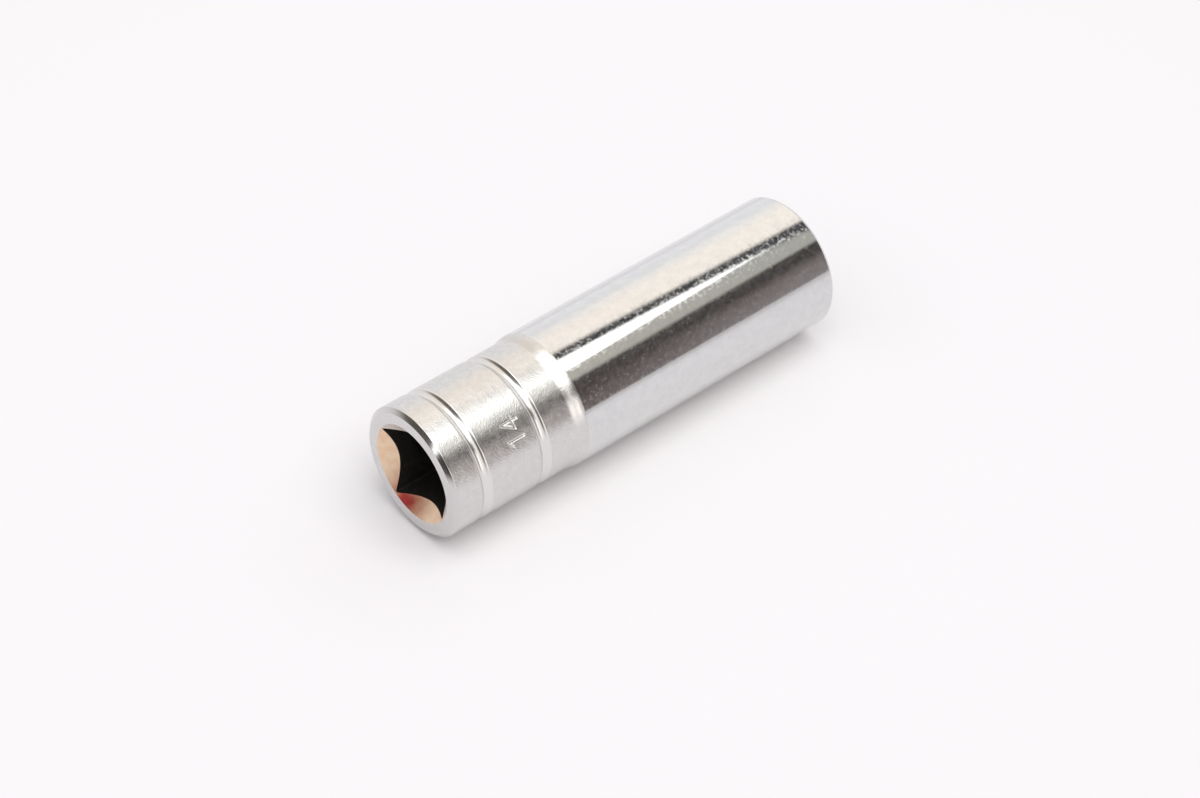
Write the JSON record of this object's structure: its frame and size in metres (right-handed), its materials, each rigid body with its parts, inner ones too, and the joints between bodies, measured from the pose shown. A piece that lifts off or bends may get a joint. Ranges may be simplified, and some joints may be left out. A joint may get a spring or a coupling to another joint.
{
  "type": "spark plug socket",
  "caption": "Deep round socket with a square drive hole at one end and a hexagon with a rubber grip sleeve at the other, for turning and lifting spark plugs.",
  "frame": {"origin": "centre of the plug end's face, on the axis", "axes": "+Z along the axis from the plug end to the drive end, X and Y across the flats of the square drive"},
  "size_m": [0.0186, 0.0186, 0.063],
  "materials": {
    "plated_steel": "polished barrel, satin drive part, dark inside",
    "grip_rubber": "matte"
  },
  "bodies": {
    "root": {"socket_body": "plated_steel", "plug_grip_sleeve": "grip_rubber"}
  },
  "joints": []
}
